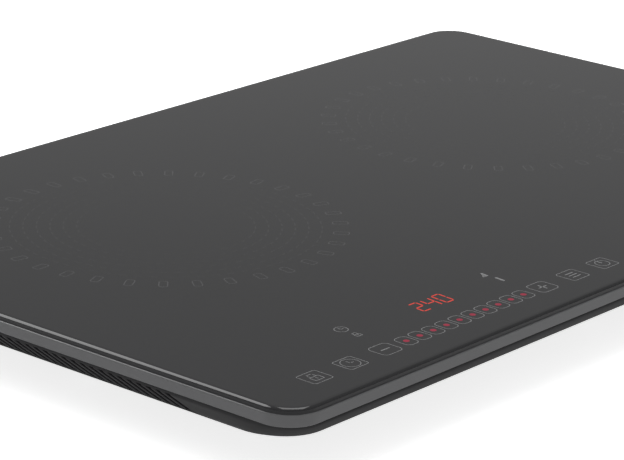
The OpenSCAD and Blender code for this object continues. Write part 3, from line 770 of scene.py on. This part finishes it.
def metal(name, colour, roughness=0.3, stretch=(1, 1, 40), scale=90):
    """Drawn or machined metal: fine lines along one direction."""
    stuff = Finish(name, metallic=1.0)
    lines = stuff.noise(scale, stretch=stretch)
    stuff.set({"Base Color": stuff.blend(lines, shade(colour, 0.82), shade(colour, 1.08)),
               "Roughness": roughness - 0.08 + lines * 0.2})
    return stuff.bump(lines, 0.00002, 0.25)


dress(moulded("seal_rubber", (0.02, 0.02, 0.021), 0.8, 700, 0.00008, 0.2), "glass_seal")
dress(speckled("former_plastic", (0.56, 0.53, 0.46), (0.46, 0.43, 0.36), 900, 0.6, 0.6),
      *pair("coil_former"))

litz = Finish("copper_litz", metallic=0.9)
twist = litz.node("ShaderNodeTexWave", {"wave_type": "BANDS", "bands_direction": "DIAGONAL"},
                  {"Vector": litz.place(), "Scale": 900.0, "Distortion": 2.0, "Detail": 2.0}, output=1)
litz.set({"Base Color": litz.blend(twist, (0.30, 0.10, 0.035), (0.72, 0.30, 0.12)),
          "Roughness": 0.28 + twist * 0.2})
litz.bump(twist, 0.0001, 0.5)
dress(litz, *pair("coil_winding"), *pair("coil_leads"))
dress(speckled("ferrite", (0.045, 0.045, 0.05), (0.09, 0.09, 0.095), 1500, 0.62, 0.7),
      *pair("ferrite_bars"))
dress(speckled("mica", (0.62, 0.57, 0.44), (0.78, 0.74, 0.62), 350, 0.58, 0.35),
      *pair("coil_insulator"))
dress(moulded("sensor_silicone", (0.58, 0.58, 0.54), 0.45, 800, 0.00004, 0.08),
      *pair("temperature_sensor"))


# ---------------------------------------------------------------- power electronics
# Each half has a green fibre-glass board with the rectifier, capacitors, choke and fuse, and an
# extruded aluminium heat sink in the fan's air with the power transistors clamped to it.

# solder mask over copper traces: a grid of faint lines, brighter pads
SOLDER_MASK = (0.012, 0.10, 0.035)
board = Finish("circuit_board")
traces = board.node("ShaderNodeTexBrick", {"offset": 0.5}, {
    "Vector": board.place(), "Scale": 110.0, "Mortar Size": 0.012,
    "Color1": (0, 0, 0), "Color2": (0.25, 0.25, 0.25), "Mortar": (1, 1, 1)})
weave = board.noise(1600, 2)
mask = board.blend(weave, shade(SOLDER_MASK, 0.85), shade(SOLDER_MASK, 1.1))
board.set({"Base Color": board.blend(traces, mask, (0.05, 0.24, 0.09)), "Roughness": 0.3 + weave * 0.15})
board.bump(traces, 0.00004, 0.4)
dress(board, *pair("power_board"), "control_board")
dress(metal("sink_aluminium", (0.72, 0.73, 0.75), 0.35, (1, 30, 1), 60), *pair("heat_sink"))
dress(speckled("black_epoxy", (0.018, 0.018, 0.02), (0.03, 0.03, 0.032), 1200, 0.6, 0.45),
      *pair("power_transistors"), *pair("rectifier"))
dress(moulded("capacitor_yellow", (0.62, 0.42, 0.05), 0.35, 600, 0.00003, 0.08),
      *pair("film_capacitors"))
choke = Finish("choke_copper", metallic=0.85)
turns = choke.node("ShaderNodeTexWave", {"wave_type": "RINGS", "rings_direction": "Z"},
                   {"Vector": choke.place(), "Scale": 260.0, "Distortion": 1.0}, output=1)
choke.set({"Base Color": choke.blend(turns, (0.24, 0.07, 0.02), (0.66, 0.25, 0.09)),
           "Roughness": 0.25 + turns * 0.2})
choke.bump(turns, 0.0002, 0.5)
dress(choke, *pair("filter_choke"))
dress(speckled("transformer_tape", (0.62, 0.50, 0.12), (0.70, 0.60, 0.22), 300, 0.6, 0.4),
      "supply_transformer")
fuse = Finish("fuse_glass", metallic=0.3)
haze = fuse.noise(120, 1)
fuse.set({"Base Color": fuse.blend(haze, (0.45, 0.48, 0.48), (0.72, 0.74, 0.74)),
          "Roughness": 0.1 + haze * 0.15})
dress(fuse, "fuse")


# ---------------------------------------------------------------- fans
# Two slim axial fans stand on the floor between the coils and draw air up through the slots.
# Frame and rotor are glass-filled nylon; the steel axle runs in a brass bearing.

dress(moulded("fan_black", (0.022, 0.022, 0.024), 0.5, 900, 0.00006, 0.12), *pair("fan_frame"))
dress(moulded("rotor_black", (0.03, 0.03, 0.033), 0.4, 900, 0.00005, 0.12), *pair("fan_rotor"))
dress(metal("axle_steel", (0.62, 0.62, 0.64), 0.2), *pair("fan_shaft"))
dress(metal("bearing_brass", (0.70, 0.52, 0.22), 0.28), *pair("fan_bearing"))


# ---------------------------------------------------------------- control panel
# A long board on a tray behind the front edge: touch springs under the glass, two red display
# blocks and a row of small red lamps, joined to the power boards by flat ribbon cables.

dress(moulded("bracket_plastic", (0.30, 0.31, 0.33), 0.5, 900, 0.00004, 0.06), "control_bracket")
dress(moulded("display_red", (0.16, 0.02, 0.015), 0.25, 500, 0.00002, 0.15), *pair("display"))
dress(metal("spring_steel", (0.66, 0.66, 0.67), 0.25, (1, 1, 60), 120), "touch_springs")
dress(moulded("led_epoxy", (0.42, 0.03, 0.03), 0.2, 500, 0.00002, 0.15), "indicator_leds")
ribbon = Finish("ribbon_grey")
cores = ribbon.node("ShaderNodeTexWave", {"wave_type": "BANDS", "bands_direction": "X"},
                    {"Vector": ribbon.place(), "Scale": 250.0, "Distortion": 0.0}, output=1)
ribbon.set({"Base Color": ribbon.blend(cores, (0.26, 0.27, 0.28), (0.46, 0.47, 0.48)),
            "Roughness": 0.4 + ribbon.noise(300, 2) * 0.15})
ribbon.bump(cores, 0.00012, 0.5)
dress(ribbon, "ribbon_cables")


# ---------------------------------------------------------------- mains entry and fasteners
# A screw terminal block takes the mains lead's cores; short brown leads go on to the boards.
# Zinc-plated self-tapping screws hold every unit.

dress(moulded("terminal_plastic", (0.60, 0.60, 0.57), 0.4, 700, 0.00003, 0.06), "terminal_block")
dress(moulded("lead_brown", (0.16, 0.06, 0.03), 0.45, 900, 0.00004, 0.12), "mains_leads")
zinc = metal("screw_steel", (0.60, 0.61, 0.63), 0.3, (1, 1, 1), 700)
dress(zinc, "coil_screws", "board_screws", "fan_screws", "panel_screws")

SCREW = ((0, 15.2), (1.3, 15.2), (1.7, 14.7), (1.7, 3.0), (3.23, 3.0), (3.23, 2.4), (2.9, 1.6),
         (2.2, 1.15), (1.5, 1.13))
head_r = SCREW[-1][0] * MM
head_z = floor_z + SCREW[-1][1] * MM
drive_depth = 0.9 * MM
draw_in = 0.66
bm = bmesh.new()
for x, y in SCREW_AT:
    turned(bm, SCREW, (x, y), floor_z, steps=24)
    # the drive: a disc whose rim is drawn in at four places to leave a cross, then sunk in
    disc = bmesh.ops.create_circle(bm, cap_ends=True, segments=24, radius=head_r,
                                   matrix=Matrix.Translation((x, y, head_z)))
    cross = disc["verts"][0].link_faces[0]
    bmesh.ops.inset_individual(bm, faces=[cross], thickness=0.15 * MM)
    for k, vert in enumerate(cross.verts):
        if k % 6 in (2, 3, 4):
            vert.co = vert.co.lerp(Vector((x, y, vert.co.z)), draw_in)
    sunk = bmesh.ops.extrude_discrete_faces(bm, faces=[cross])["faces"][0]
    bmesh.ops.translate(bm, verts=sunk.verts, vec=(0, 0, drive_depth))
bmesh.ops.remove_doubles(bm, verts=bm.verts, dist=1e-6)
bmesh.ops.recalc_face_normals(bm, faces=bm.faces)
piece(bm, "housing_screw_heads", zinc, ["housing_screws"], sharp=35)
